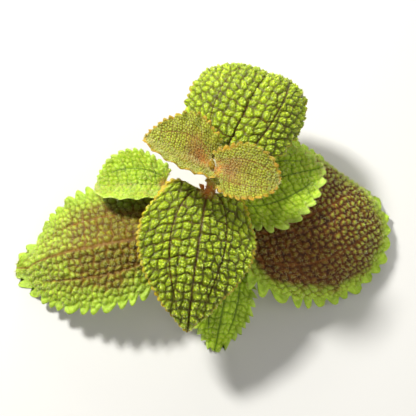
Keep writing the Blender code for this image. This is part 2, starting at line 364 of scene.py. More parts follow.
def blade_point(leaf, along, across, height):
    """Each half of the blade is an arc across the midrib: it leaves at the fold angle and bends by the curl.

    across is positive to the left of the heading, and height is along the arc's normal.
    """
    s, centre, ahead, side, up = midrib(leaf)

    def at(table):
        return np.stack([np.interp(along, s, table[:, i]) for i in range(3)], -1)

    left = across > 0
    fold = RAD * np.where(left, *leaf.fold)
    curl = np.where(left, *leaf.curl)
    bow = RAD * np.where(curl == 0, 1e-4, curl) / np.where(left, *leaf.halves)
    angle = fold + bow * np.abs(across)
    out = (np.sin(angle) - np.sin(fold)) / bow
    rise = (np.cos(fold) - np.cos(angle)) / bow
    beyond = along - np.clip(along, 0, leaf.length)
    sideways = np.sign(across) * (out - height * np.sin(angle))
    upwards = rise + height * np.cos(angle)
    offsets = (at(ahead), beyond), (at(side), sideways), (at(up), upwards)
    return at(centre) + sum(axis * distance[..., None] for axis, distance in offsets)


def margin(leaf, q, half):
    """Plain margin: the half width times powers of q and 1 - q, with two bell-shaped lobes behind.

    q is the part of the length. The product is divided by its value at its top, so that it reaches the half
    width.
    """
    top = leaf.base_exp / (leaf.base_exp + leaf.tip_exp)
    across = half * (q / top) ** leaf.base_exp * ((1 - q) / (1 - top)) ** leaf.tip_exp
    at_start = np.exp(-((LOBE_AT / LOBE_SPREAD) ** 2))
    lobes = np.exp(-(((q - LOBE_AT) / LOBE_SPREAD) ** 2)) - at_start * (1 - q) ** 30
    return leaf.length * (q - leaf.lobe * lobes), across


def teeth(quilt, q, margin_along, margin_across):
    """A wave along the margin's own length, pushed outwards and a little towards the tip.

    A rounded tooth is a half sine, and a pointed one climbs slowly and drops back fast. Two slow sines vary
    the pitch.
    """
    step_along = np.gradient(margin_along, axis=0)
    step_across = np.gradient(margin_across, axis=0)
    step = np.maximum(np.hypot(step_along, step_across), 1e-6)
    run = np.cumsum(step, axis=0)
    phase = (run / quilt.tooth_pitch + 0.13 * np.sin(run / 3.3) + 0.1 * np.sin(run / 7.1)) % 1
    round_wave = np.sin(np.pi * phase)
    point_wave = np.where(phase < TOOTH_CLIMB, phase / TOOTH_CLIMB, (1 - phase) / (1 - TOOTH_CLIMB))
    wave = round_wave * (1 - quilt.tooth_point) + point_wave * quilt.tooth_point
    push = quilt.tooth_depth * (wave - TOOTH_MEAN) * ease(q, 0.005, 0.06) * ease(1 - q, 0.0, 0.03)
    lean = 0.25 + 0.6 * quilt.tooth_point
    ahead, out = step_along / step, step_across / step
    return push * (lean * ahead - out), push * (ahead + lean * out), wave


def scatter(i, j, salt):
    """Repeatable number from 0 to 1 for each cell: the broken part of a large sine."""
    value = np.sin(i * 127.1 + j * 311.7 + salt * 74.7) * 43758.5453
    return value - np.floor(value)


def cells(x, y, size, jitter, salt):
    """Distances to the two nearest points of a jittered square lattice, and the nearest one's own number."""
    column, row = np.floor(x / size), np.floor(y / size)
    first = np.full(x.shape, 1e9)
    second = first.copy()
    tone = np.zeros(x.shape)
    for di in (-1, 0, 1):
        for dj in (-1, 0, 1):
            i, j = column + di, row + dj
            px = (i + 0.5 + jitter * (2 * scatter(i, j, salt) - 1)) * size
            py = (j + 0.5 + jitter * (2 * scatter(i, j, salt + 1) - 1)) * size
            away = np.hypot(x - px, y - py)
            nearer = away < first
            second = np.where(nearer, first, np.minimum(second, away))
            tone = np.where(nearer, scatter(i, j, salt + 2), tone)
            first = np.where(nearer, away, first)
    return first, second, tone


def quilting(leaf, quilt, q, along, across, width, salt):
    """Height of the puckers: domes or cones over lattice cells, broken up by lumps and pressed down by veins.

    A dome is one minus a bell curve of the distance to the cell's edge, and a cone falls evenly from the
    cell's point. The veins are bell curves round the midrib, round one side vein in each half, and round
    rungs between them, which swing forwards with the square of the distance from the midrib.
    """
    left = across > 0
    reach = np.abs(across)
    rung = along - RUNG_SWING * across**2 / np.where(left, *leaf.halves) + quilt.cell * left
    rung = rung + WAVE_ALONG * quilt.cell * np.sin(3.1 * across / quilt.cell + 1.7 * along / quilt.cell)
    sway = across + WAVE_ACROSS * quilt.cell * np.sin(2.3 * along / quilt.cell)
    near, next_near, tone = cells(rung, sway, quilt.cell, PUCKER_JITTER, salt)
    dome = 1 - np.exp(-(((next_near - near) / (DOME_EDGE * quilt.cell)) ** 2))
    cone = np.clip(1 - near / (CONE_REACH * quilt.cell), 0, 1)
    bump = dome * (1 - quilt.peak) + cone * quilt.peak
    fine_near, fine_next, _ = cells(rung + 0.3, sway, quilt.cell / LUMPS_IN_CELL, LUMP_JITTER, salt + 5)
    lump = 1 - np.exp(-(((fine_next - fine_near) / (LUMP_EDGE * quilt.cell)) ** 2))
    bump = bump * (1 + quilt.wrinkle * (lump - 0.6))
    crown = np.clip((0.55 * dome + 0.45 * cone**0.7) * (1 - 0.5 * quilt.wrinkle * (1 - lump)), 0, 1)
    spacing = CELLS_BETWEEN_RUNGS * quilt.cell
    to_rung = np.abs((rung / spacing + 0.5) % 1 - 0.5) * spacing
    to_side = np.abs(reach - SIDE_VEIN_AT * width)
    wide = quilt.vein_width
    main = np.exp(-((reach / (wide * (1.5 - 0.9 * q))) ** 2))
    side = np.exp(-((to_side / (wide * 1.05)) ** 2)) * ease(q, 0.0, 0.05) * (1 - ease(q, 0.7, 0.92))
    rungs = 0.75 * np.exp(-((to_rung / (wide * 0.75)) ** 2)) * (1 - ease(reach / width, 0.55, 0.95))
    vein = np.maximum(main, np.maximum(side, rungs * (1 - ease(q, 0.8, 0.95))))
    relief = quilt.relief * bump * (1 - 0.75 * vein) - quilt.vein_depth * vein
    return relief, vein, crown, tone


def leaf_shape(leaf, quilt, thickness, salt):
    """Rings of the blade across its midrib, upper face and then lower face, joined to the rings of its stalk.

    A point's place across is its share of the toothed margin's, and its place along follows the margin's by
    the square of that share. The upper face's height is the relief plus half the thickness, and the lower
    face follows it with ribs under the veins.
    """
    columns = 2 * int(sum(leaf.halves) / quilt.grid / 2) + 1
    rows = int(ROWS_FOR_STEP * leaf.length / quilt.grid)
    q = FIRST_ROW + (LAST_ROW - FIRST_ROW) * np.linspace(0, 1, rows)[:, None] ** ROW_CROWDING
    v = np.linspace(-1, 1, columns)[None, :]
    width = np.where(v > 0, *leaf.halves)
    margin_along, margin_across = margin(leaf, q, width)
    tooth_along, tooth_across, wave = teeth(quilt, q, margin_along, margin_across)
    near_rim = np.abs(v) ** RIM_POWER
    along = leaf.length * q + (margin_along - leaf.length * q) * v**2 + tooth_along * near_rim
    across = v * margin_across + np.sign(v) * tooth_across * near_rim
    relief, vein, crown, tone = quilting(leaf, quilt, q, along, across, margin_across, salt)
    rim = (1 - np.abs(v)) * margin_across + 0 * q
    relief = relief * ease(rim, -0.2, 1.3) * ease(q, 0, 0.03)
    relief = relief + TOOTH_LIFT * quilt.tooth_depth * np.exp(-((rim / TOOTH_LIFT_REACH) ** 2)) * wave
    run = along / leaf.length * 2 * np.pi
    relief = relief + quilt.ruffle * np.abs(v) ** 3 * np.sin(5 * run + 2 * np.sign(v) + salt)
    swell = (leaf.stalk - thickness / 2) * np.exp(-(along / 3)) * np.exp(-((across / leaf.stalk) ** 2))
    rib = MIDRIB_HEIGHT * (1 - q) * np.exp(-((across / MIDRIB_WIDTH) ** 2))
    to_side = np.abs(across) - SIDE_VEIN_AT * margin_across
    side_rib = SIDE_RIB_HEIGHT * (1 - q) * np.exp(-((to_side / SIDE_RIB_WIDTH) ** 2))
    thin = thickness / 2 * (RIM_THINNESS + (1 - RIM_THINNESS) * ease(rim, 0, 0.8))
    over = blade_point(leaf, along, across, thin + relief + 0.5 * swell)
    under = blade_point(leaf, along, across, 0.9 * relief - thin - rib - side_rib - swell)
    over[..., 2] = np.maximum(over[..., 2], LEAST_HEIGHT_OF_TOP)
    under[..., 2] = np.maximum(under[..., 2], LEAST_HEIGHT_OF_UNDERSIDE)
    stalk = stalk_rings(leaf, columns)
    rings = np.concatenate([stalk, np.concatenate([over, under[:, ::-1]], 1)])

    def both(upper, lower, on_stalk):
        blade = np.concatenate([upper + 0 * rim, lower + 0 * rim[:, ::-1]], 1)
        return np.concatenate([np.full(stalk.shape[:2], on_stalk, float), blade])

    # The colour zones' edges wander with two slow waves and from pucker to pucker
    drift = 1.2 * np.sin(along / 3.1 + salt) + 1.2 * np.sin(across / 2.3 + along / 5) + 3 * (tone - 0.5)
    middle = ease(rim + drift, *quilt.middle) * (1 - ease(q + 0.03 * drift, *quilt.middle_end))
    band = 1 - ease(rim + 0.3 * drift, *quilt.band)
    stalk_fade = (1 - ease(along, 0.5, 4)) * np.exp(-((across / 2.5) ** 2))
    marks = {
        "vein": both(vein, vein[:, ::-1], 0),
        "crown": both(crown, crown[:, ::-1], 0.5),
        "tone": both(tone, tone[:, ::-1], 0.5),
        "middle": both(middle, middle[:, ::-1], 0),
        "band": both(band, band[:, ::-1], 0),
        "along": both(q, q, 0),
        "under": both(0 * q, 1 + 0 * q, 0),
        "stalk": both(stalk_fade, 0 * q, 1),
    }
    return rings, marks, over, crown * (1 - vein)


def stalk_rings(leaf, columns):
    """Rings along a cubic from the stem to the blade, with as many points as the blade's rings."""
    u = np.linspace(0, 1, STALK_ROWS, endpoint=False)[:, None]
    chord = leaf.base - leaf.foot
    end = direction(RAD * leaf.rise, RAD * leaf.heading) * np.linalg.norm(chord)
    path = leaf.foot + (3 * u**2 - 2 * u**3) * chord
    path = path + (u**3 - 2 * u**2 + u) * leaf.leave + (u**3 - u**2) * end
    ahead = unit(6 * (u - u**2) * chord + (3 * u**2 - 4 * u + 1) * leaf.leave + (3 * u**2 - 2 * u) * end)
    side = unit(np.cross([0, 0, 1], ahead))
    up = np.cross(ahead, side)
    turn = RAD * RIM_ANGLE * np.linspace(-1, 1, columns)
    turn = np.concatenate([turn, np.pi - turn[::-1]])[None, :, None]
    radius = leaf.stalk * np.concatenate([[0.02, 0.7, 0.97], np.ones(STALK_ROWS - 3)])[:, None, None]
    path[:3] = leaf.foot + ahead[0] * np.array([[0.0], [0.02], [0.12]])
    return path[:, None] + radius * (side[:, None] * np.sin(turn) + up[:, None] * np.cos(turn))


def around(sides):
    """Even angles round a tube."""
    return np.linspace(0, 2 * np.pi, sides, endpoint=False)


def tube_rings(path, radii, sides, flat_start=False):
    """Circles square to a path, with a radius for each point. A flat start eases in from level rings."""
    ahead = unit(np.gradient(path, axis=0))
    if flat_start:
        level = np.linspace(1, 0, 12)[:, None]
        ahead[:12] = unit(ahead[:12] * (1 - level) + np.array([0, 0, 1]) * level)
    side = unit(np.cross([0, 1, 0], ahead))
    up = np.cross(ahead, side)
    turn = around(sides)[:, None]
    return path[:, None] + radii[..., None] * (side[:, None] * np.cos(turn) + up[:, None] * np.sin(turn))


def close_ends(rings):
    """Adds rings that shrink to each end's middle, so that both ends are closed flat."""
    start, end = rings[0].mean(0), rings[-1].mean(0)
    shrink = np.array([0.03, 0.5, 0.85])[:, None, None]
    return np.concatenate([
        start + (rings[:1] - start) * shrink, rings, end + (rings[-1:] - end) * shrink[::-1],
    ])


def add_mesh(name, points, faces, material):
    """A mesh object at the origin. The points are in millimetres from the middle of the footprint."""
    mesh = bpy.data.meshes.new(name)
    mesh.from_pydata(points * MM, [], faces)
    mesh.materials.append(material)
    obj = bpy.data.objects.new(name, mesh)
    bpy.context.scene.collection.objects.link(obj)
    return obj


def shell(name, rings, marks, material):
    """Joins the rings into one closed mesh whose faces point outwards, with its marks as point attributes.

    A negative volume, the sum of the faces' triple products, means that the faces point inwards.
    """
    rows, sides, _ = rings.shape
    index = np.arange(rows * sides).reshape(rows, sides)
    after = np.roll(index, -1, axis=1)
    quads = np.stack([index[:-1], after[:-1], after[1:], index[1:]], -1).reshape(-1, 4)
    points = rings.reshape(-1, 3) - FOOTPRINT_CENTRE
    corner, second, third, fourth = (points[quads[:, i]] for i in range(4))
    volume = np.einsum("ij,ij->", corner, np.cross(second, third) + np.cross(third, fourth))
    caps = [index[0, ::-1].tolist(), index[-1].tolist()]
    if volume < 0:
        quads = quads[:, ::-1]
        caps = [cap[::-1] for cap in caps]
    obj = add_mesh(name, points, quads.tolist() + caps, material)
    obj.data.shade_smooth()
    for mark, values in marks.items():
        layer = obj.data.attributes.new(mark, "FLOAT", "POINT")
        layer.data.foreach_set("value", np.ascontiguousarray(values, np.float32).ravel())
    return obj


def grid_normals(points):
    """Cross product of the steps along and across a grid of points."""
    return unit(np.cross(np.gradient(points, axis=0), np.gradient(points, axis=1)))


def hair_tuft(name, roots, directions, lengths, width, material):
    """One closed three-sided spike for each hair: a small triangle round the root and a point at the tip."""
    count = len(roots)
    aside = unit(np.cross(directions, [0.31, 0.87, 0.38]))
    across = np.cross(directions, aside)
    turn = np.array([[0], [2], [4]]) * np.pi / 3
    feet = roots[:, None] - directions[:, None] * HAIR_ROOT + width / 2 * (
        aside[:, None] * np.cos(turn) + across[:, None] * np.sin(turn)
    )
    tips = roots + directions * lengths[:, None]
    tips[:, 2] = np.maximum(tips[:, 2], 0.05)
    feet[..., 2] = np.maximum(feet[..., 2], 0.01)
    points = np.concatenate([feet, tips[:, None]], 1).reshape(-1, 3) - FOOTPRINT_CENTRE
    first = np.arange(count)[:, None, None] * 4
    faces = (first + np.array([[0, 1, 3], [1, 2, 3], [2, 0, 3], [0, 2, 1]])).reshape(-1, 3)
    return add_mesh(name, points, faces.tolist(), material)


def grow_hairs(node, points, outward, weights, hairs):
    """Hairs at chance points of a grid, more of them where the weights are high."""
    sizes = bpy.context.scene.sprig_sizes
    full_count, length = hairs
    count = max(LEAST_HAIRS, int(full_count * sizes.hair_share))
    name = node + "_hairs"
    chance = np.random.default_rng(HAIR_SEED + len(name))
    pick = chance.choice(points.shape[0] * points.shape[1], count, p=(weights / weights.sum()).ravel())
    aim = outward.reshape(-1, 3)[pick] + chance.normal(0, HAIR_SPREAD, (count, 3))
    lengths = length * chance.uniform(SHORTEST_HAIR, LONGEST_HAIR, count)
    skin = shared_material("glassy_leaf_hair", hair_skin, *colours("hair"))
    roots = points.reshape(-1, 3)[pick]
    settle(hair_tuft(name, roots, unit(aim), lengths, sizes.hair_width / MM, skin), None)


def srgb(hex_colour):
    """Linear red, green and blue of an sRGB hex value."""
    parts = [int(hex_colour[i : i + 2], 16) / 255 for i in (1, 3, 5)]
    return tuple(p / 12.92 if p <= 0.04045 else ((p + 0.055) / 1.055) ** 2.4 for p in parts)


def colour_property(name, description, hex_colour):
    """A colour on the panel."""
    return bpy.props.FloatVectorProperty(
        name=name, description=description, subtype="COLOR", size=3, min=0, max=1, default=srgb(hex_colour)
    )


class SprigSizes(bpy.types.PropertyGroup):
    """Sizes that a user may change without moving any leaf."""

    blade_thickness: bpy.props.FloatProperty(
        name="Blade Thickness", description="Thickness of a leaf blade",
        default=0.45 * MM, min=0.2 * MM, max=0.9 * MM, unit="LENGTH", precision=5,
    )
    hair_width: bpy.props.FloatProperty(
        name="Hair Width", description="Width of a hair at its root",
        default=0.1 * MM, min=0.02 * MM, max=0.3 * MM, unit="LENGTH", precision=5,
    )
    hair_share: bpy.props.FloatProperty(
        name="Hair Share", description="Share of the full number of hairs", default=1.0, min=0.01, max=1.0,
        subtype="FACTOR",
    )


class SprigColours(bpy.types.PropertyGroup):
    """Colours of the leaf skins, stalks and hairs."""

    # A crown colour is partly the pucker's own colour and partly a painted highlight; a valley colour is
    # partly the leaf's own darker colour and partly painted shade
    bright_crown_and_highlight: colour_property("Bright Crown", "Top of a pucker on the bright leaves", "#D2E440")
    bright_slope: colour_property("Bright Slope", "Sides of those puckers", "#8EA408")
    bright_valley: colour_property("Bright Valley", "Between the puckers of the bright leaves", "#5C5C04")
    bright_vein: colour_property("Bright Vein", "Veins of the bright leaves", "#4E2C0A")
    bright_rim: colour_property("Bright Rim", "Margin of the bright leaves", "#BFA81C")
    outer_crown_and_highlight: colour_property("Outer Crown", "Puckers near the margin of the bronze leaves", "#C0DC48")
    outer_slope: colour_property("Outer Slope", "Sides of those puckers", "#9CB626")
    outer_valley: colour_property("Outer Valley", "Between the puckers near that margin", "#76800E")
    bronze_rim: colour_property("Bronze Rim", "Toothed margin of the bronze leaves", "#B0D03A")
    olive_crown_and_highlight: colour_property("Olive Crown", "Top of a pucker in the left bronze leaf's middle", "#94902C")
    olive_slope: colour_property("Olive Slope", "Sides of those puckers", "#80700C")
    olive_valley: colour_property("Olive Valley", "Between those puckers", "#5E3E02")
    olive_vein: colour_property("Olive Vein", "Veins of the left bronze leaf", "#86601E")
    rust_crown_and_highlight: colour_property("Rust Crown", "Top of a pucker in the right bronze leaf's middle", "#80700E")
    rust_slope: colour_property("Rust Slope", "Sides of those puckers", "#6A3A00")
    rust_valley: colour_property("Rust Valley", "Between those puckers", "#402000")
    rust_vein: colour_property("Rust Vein", "Veins of the right bronze leaf", "#7E4A0C")
    young_crown_and_highlight: colour_property("Young Crown", "Puckers of the young leaves", "#BCC83A")
    young_slope: colour_property("Young Slope", "Sides of those puckers", "#848806")
    young_valley: colour_property("Young Valley", "Between the puckers of the young leaves", "#6E6004")
    young_middle: colour_property("Young Middle", "Rust middle of the young leaves", "#8E6022")
    young_rim: colour_property("Young Rim", "Orange yellow margin of the young leaves", "#B8921C")
    side_crown_and_highlight: colour_property("Side Crown", "Puckers of the side leaves", "#C0DA46")
    side_slope: colour_property("Side Slope", "Sides of those puckers", "#A4C41C")
    side_valley: colour_property("Side Valley", "Between the puckers of the side leaves", "#8AAA0A")
    side_vein: colour_property("Side Vein", "Veins of the side leaves", "#5E7A10")
    side_rim: colour_property("Side Rim", "Pale teeth of the side leaves", "#B4D04E")
    stalk: colour_property("Stalk", "Reddish orange stalks and stem", "#DC8C34")
    hair: colour_property("Hair", "Whitish hairs", "#E8E29C")
    floor: colour_property("Floor", "Pale floor", "#D8D6D0")


def add_node(tree, kind, inputs=None, output=0, **settings):
    """Adds a node with its settings; each input takes a value, a colour or another node's output."""
    node = tree.nodes.new(kind)
    for name, value in settings.items():
        setattr(node, name, value)
    for name, value in (inputs or {}).items():
        if isinstance(value, bpy.types.NodeSocket):
            tree.links.new(value, node.inputs[name])
        elif node.inputs[name].type == "RGBA":
            node.inputs[name].default_value = (*value, 1)
        else:
            node.inputs[name].default_value = value
    return node.outputs[output] if len(node.outputs) else None


def new_material(name):
    """An empty node material, and a function that adds a node to it."""
    material = bpy.data.materials.new(name)
    material.use_nodes = True
    material.node_tree.nodes.clear()
    return material, functools.partial(add_node, material.node_tree)


def leaf_skin(name, outer, middle, vein, rim, stalk, gloss):
    """Living leaf skin: a waxy, slightly translucent cuticle over puckered green tissue.

    Each pucker is paler and glossier on its crown, the valleys and veins are darker and duller, the middle of
    the blade has colours of its own, and the margin is a paler band. The pale crest of each crown is partly
    the leaf's own colour and partly a painted highlight, and the darker valleys are partly its own colour and
    partly painted shade. The marks of all these come with the surface. outer and middle hold the colours of
    valley, slope and crown, and middle's crown near the tip is outer's. gloss is the crowns' roughness.
    """
    material, add = new_material(name)
    place = add("ShaderNodeTexCoord", output="Object")
    # Blotches are 5 mm across. The cuticle's wrinkles of 1 mm are coarser than real ones, so that they show
    blotch = add("ShaderNodeTexNoise", {"Vector": place, "Scale": 200, "Detail": 3})
    crumple = add("ShaderNodeTexNoise", {"Vector": place, "Scale": 900, "Detail": 3, "Roughness": 0.6})
    mark = {
        key: add("ShaderNodeAttribute", output="Fac", attribute_name=key)
        for key in ("crown", "vein", "middle", "band", "along", "tone", "under", "stalk")
    }
    slope = add("ShaderNodeMapRange", {"Value": mark["crown"], "From Min": 0.1, "From Max": 0.5})
    # The crest, the top of each pucker, takes the pale crown colour: partly the leaf's own colour and partly
    # a painted highlight
    crest_highlight = add("ShaderNodeMapRange", {"Value": mark["crown"], "From Min": 0.5, "From Max": 0.95})
    tip = add("ShaderNodeMapRange", {"Value": mark["along"], "From Min": 0.3, "From Max": 0.7})
    crown = add("ShaderNodeMix", {0: tip, 6: middle[2], 7: outer[2]}, 2, data_type="RGBA")
    inner = add("ShaderNodeMix", {0: slope, 6: middle[0], 7: middle[1]}, 2, data_type="RGBA")
    inner = add("ShaderNodeMix", {0: crest_highlight, 6: inner, 7: crown}, 2, data_type="RGBA")
    colour = add("ShaderNodeMix", {0: slope, 6: outer[0], 7: outer[1]}, 2, data_type="RGBA")
    under = tuple(0.5 * c + 0.5 * p for c, p in zip(rim, (0.36, 0.34, 0.12)))
    # Coats in turn: the pale crown colour on the crests, partly a painted highlight, then the margin band,
    # the middle, the veins, the underside and the stalk
    coats = (
        (crest_highlight, outer[2]), (mark["band"], rim), (mark["middle"], inner), (mark["vein"], vein),
        (mark["under"], under), (mark["stalk"], stalk),
    )
    for share, coat in coats:
        colour = add("ShaderNodeMix", {0: share, 6: colour, 7: coat}, 2, data_type="RGBA")
    shade = add("ShaderNodeMapRange", {"Value": mark["tone"], "To Min": 0.84, "To Max": 1.16})
    mottle = add("ShaderNodeMapRange", {
        "Value": blotch, "From Min": 0.3, "From Max": 0.7, "To Min": 0.85, "To Max": 1.15,
    })
    shade = add("ShaderNodeMath", {0: shade, 1: mottle}, operation="MULTIPLY")
    colour = add("ShaderNodeVectorMath", {0: colour, "Scale": shade}, operation="SCALE")
    rough = add("ShaderNodeMapRange", {"Value": mark["crown"], "To Min": gloss + 0.3, "To Max": gloss})
    bump = add("ShaderNodeBump", {"Height": crumple, "Strength": 1.0, "Distance": 0.4 * MM})
    shader = add("ShaderNodeBsdfPrincipled", {
        "Base Color": colour, "Roughness": rough, "Normal": bump, "IOR": 1.45, "Specular IOR Level": 0.4,
        "Subsurface Weight": 0.12, "Subsurface Radius": (0.5, 1.0, 0.2), "Subsurface Scale": 0.9 * MM,
    })
    add("ShaderNodeOutputMaterial", {"Surface": shader})
    return material


def stem_skin(name, colour):
    """Soft hairy stem skin: reddish orange with darker and greener blotches, neither glossy nor dry."""
    material, add = new_material(name)
    place = add("ShaderNodeTexCoord", output="Object")
    # Blotches are 3 mm across, and the grain 0.5 mm
    blotch = add("ShaderNodeTexNoise", {"Vector": place, "Scale": 350, "Detail": 4})
    grain = add("ShaderNodeTexNoise", {"Vector": place, "Scale": 1800, "Detail": 2})
    dark = tuple(0.7 * c for c in colour)
    green = tuple(0.6 * c + 0.4 * g for c, g in zip(colour, srgb("#8A9A3A")))
    skin = add("ShaderNodeMapRange", {"Value": blotch, "From Min": 0.35, "From Max": 0.6})
    skin = add("ShaderNodeMix", {0: skin, 6: dark, 7: colour}, 2, data_type="RGBA")
    patch = add("ShaderNodeMapRange", {"Value": blotch, "From Min": 0.55, "From Max": 0.8})
    skin = add("ShaderNodeMix", {0: patch, 6: skin, 7: green}, 2, data_type="RGBA")
    bump = add("ShaderNodeBump", {"Height": grain, "Strength": 0.4, "Distance": 0.2 * MM})
    shader = add("ShaderNodeBsdfPrincipled", {
        "Base Color": skin, "Roughness": 0.5, "Normal": bump, "IOR": 1.42, "Subsurface Weight": 0.1,
        "Subsurface Radius": (1.0, 0.4, 0.2), "Subsurface Scale": 0.8 * MM,
    })
    add("ShaderNodeOutputMaterial", {"Surface": shader})
    return material


def hair_skin(name, colour):
    """Glassy plant hair: whitish and half clear, so each one catches the light as a thin streak."""
    material, add = new_material(name)
    place = add("ShaderNodeTexCoord", output="Object")
    drift = add("ShaderNodeTexNoise", {"Vector": place, "Scale": 150, "Detail": 1})
    tan = tuple(c * s for c, s in zip(colour, (0.75, 0.68, 0.4)))
    skin = add("ShaderNodeMapRange", {"Value": drift, "From Min": 0.4, "From Max": 0.7})
    skin = add("ShaderNodeMix", {0: skin, 6: colour, 7: tan}, 2, data_type="RGBA")
    shader = add("ShaderNodeBsdfPrincipled", {
        "Base Color": skin, "Roughness": 0.35, "IOR": 1.45,
        "Subsurface Weight": 0.3, "Subsurface Scale": 0.3 * MM,
    })
    add("ShaderNodeOutputMaterial", {"Surface": shader})
    return material


def stage_paint(name, colour):
    """Matt backdrop paper: even and pale, with a trace of fibre."""
    material, add = new_material(name)
    place = add("ShaderNodeTexCoord", output="Object")
    fibre = add("ShaderNodeTexNoise", {"Vector": place, "Scale": 900, "Detail": 3})
    bump = add("ShaderNodeBump", {"Height": fibre, "Strength": 0.04, "Distance": 0.1 * MM})
    shader = add("ShaderNodeBsdfPrincipled", {"Base Color": colour, "Roughness": 0.9, "Normal": bump})
    add("ShaderNodeOutputMaterial", {"Surface": shader})
    return material


def shared_material(name, make, *facts):
    """The material of that name, made on first use."""
    return bpy.data.materials.get(name) or make(name, *facts)


def settle(obj, node):
    """The piece rides on the sprig and, with a node given, stands for that node."""
    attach(obj, "root")
    if node:
        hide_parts(node)


def grow_leaves(leaves, skins):
    """Builds each leaf and its hairs, which stand mostly on the crowns of the puckers."""
    thickness = bpy.context.scene.sprig_sizes.blade_thickness / MM
    for salt, (node, leaf) in enumerate(leaves.items(), 3):
        quilt = QUILTS[node]
        rings, marks, over, weights = leaf_shape(leaf, quilt, thickness, salt)
        settle(shell(node + "_blade", rings, marks, skins[node]), node)
        outward = grid_normals(over)
        outward = outward * np.sign(outward[..., 2].sum())
        grow_hairs(node, over, outward, weights**2 + LEAST_HAIR_WEIGHT, quilt.hairs)


def colours(*names):
    """The panel's colours of those names."""
    group = bpy.context.scene.sprig_colours
    return [tuple(getattr(group, name)) for name in names]


class SPRIG_OT_bright_leaves(bpy.types.Operator):
    """Builds the bright, strongly quilted back and front leaves"""

    bl_idname = "sprig.bright_leaves"
    bl_label = "Bright Leaves"

    def execute(self, context):
        lime = colours("bright_valley", "bright_slope", "bright_crown_and_highlight")
        coats = colours("bright_vein", "bright_rim", "stalk")
        skin = leaf_skin("waxy_lime_leaf_skin", lime, lime, *coats, gloss=0.16)
        grow_leaves(BRIGHT_LEAVES, dict.fromkeys(BRIGHT_LEAVES, skin))
        return {"FINISHED"}


class SPRIG_OT_bronze_leaves(bpy.types.Operator):
    """Builds the two large bronze leaves that rest on the surface"""

    bl_idname = "sprig.bronze_leaves"
    bl_label = "Bronze Leaves"

    def execute(self, context):
        outer = colours("outer_valley", "outer_slope", "outer_crown_and_highlight")
        olive = colours("olive_valley", "olive_slope", "olive_crown_and_highlight")
        rust = colours("rust_valley", "rust_slope", "rust_crown_and_highlight")
        olive_coats = colours("olive_vein", "bronze_rim", "stalk")
        rust_coats = colours("rust_vein", "bronze_rim", "stalk")
        skins = {
            "lower_leaf_left": leaf_skin("olive_bronze_leaf_skin", outer, olive, *olive_coats, gloss=0.34),
            "lower_leaf_right": leaf_skin("rusty_bronze_leaf_skin", outer, rust, *rust_coats, gloss=0.45),
        }
        grow_leaves(BRONZE_LEAVES, skins)
        return {"FINISHED"}


class SPRIG_OT_young_leaves(bpy.types.Operator):
    """Builds the small finely puckered pair at the top"""

    bl_idname = "sprig.young_leaves"
    bl_label = "Young Leaves"

    def execute(self, context):
        outer = colours("young_valley", "young_slope", "young_crown_and_highlight")
        rust, rim, stalk = colours("young_middle", "young_rim", "stalk")
        # Valley, slope and crown from the one rust colour at 0.7, 1 and 1.5: the leaf's own rust, with
        # painted shade in the valleys and a painted highlight on the crowns
        middle = [tuple(share * part for part in rust) for share in (0.7, 1.0, 1.5)]
        skin = leaf_skin("downy_young_leaf_skin", outer, middle, middle[0], rim, stalk, gloss=0.42)
        grow_leaves(YOUNG_LEAVES, dict.fromkeys(YOUNG_LEAVES, skin))
        return {"FINISHED"}


class SPRIG_OT_side_leaves(bpy.types.Operator):
    """Builds the light green leaves of the two side shoots"""

    bl_idname = "sprig.side_leaves"
    bl_label = "Side Leaves"

    def execute(self, context):
        green = colours("side_valley", "side_slope", "side_crown_and_highlight")
        coats = colours("side_vein", "side_rim", "stalk")
        skin = leaf_skin("light_green_leaf_skin", green, green, *coats, gloss=0.36)
        grow_leaves(SIDE_LEAVES, dict.fromkeys(SIDE_LEAVES, skin))
        return {"FINISHED"}


def stem_shape():
    """Tube along the stem's path, swollen at the joints, with shallow ridges that wind round it."""
    path = smooth_path(STEM_PATH, STEM_RINGS)
    radii = np.interp(path[:, 2], [p[2] for p in STEM_PATH], STEM_RADII)
    for height in NODE_HEIGHTS:
        radii = radii + NODE_SWELLING * np.exp(-(((path[:, 2] - height) / NODE_REACH) ** 2))
    turn = around(STEM_SIDES)
    ridges = 1 + 0.025 * np.sin(6 * turn + path[:, 2:] / 9) + 0.015 * np.sin(11 * turn - path[:, 2:] / 4)
    return close_ends(tube_rings(path, radii[:, None] * ridges, STEM_SIDES, flat_start=True))


def shoot_shape(points):
    """Short tube with a swollen joint near its end."""
    path = smooth_path(points, SHOOT_RINGS)
    u = np.linspace(0, 1, SHOOT_RINGS)[:, None]
    radii = SHOOT_RADIUS * (1 + 0.2 * np.exp(-(((u - 0.9) / 0.12) ** 2)))
    return close_ends(tube_rings(path, radii + np.zeros((1, SHOOT_SIDES)), SHOOT_SIDES))


def bud_shape(base, tip, radius):
    """Pointed bud: a raised sine along its length, with a furrow on two sides where its leaflets meet."""
    u = np.linspace(0, 1, BUD_RINGS)[:, None]
    path = np.array(base) * (1 - u) + np.array(tip) * u
    turn = around(BUD_SIDES)
    furrow = 1 - 0.22 * np.exp(-((np.sin(turn) / 0.3) ** 2)) * np.sin(np.pi * u) ** 0.5
    body = radius * (0.12 + 0.9 * np.sin(np.pi * (0.12 + 0.86 * u) ** 0.8))
    return close_ends(tube_rings(path, body * furrow, BUD_SIDES))


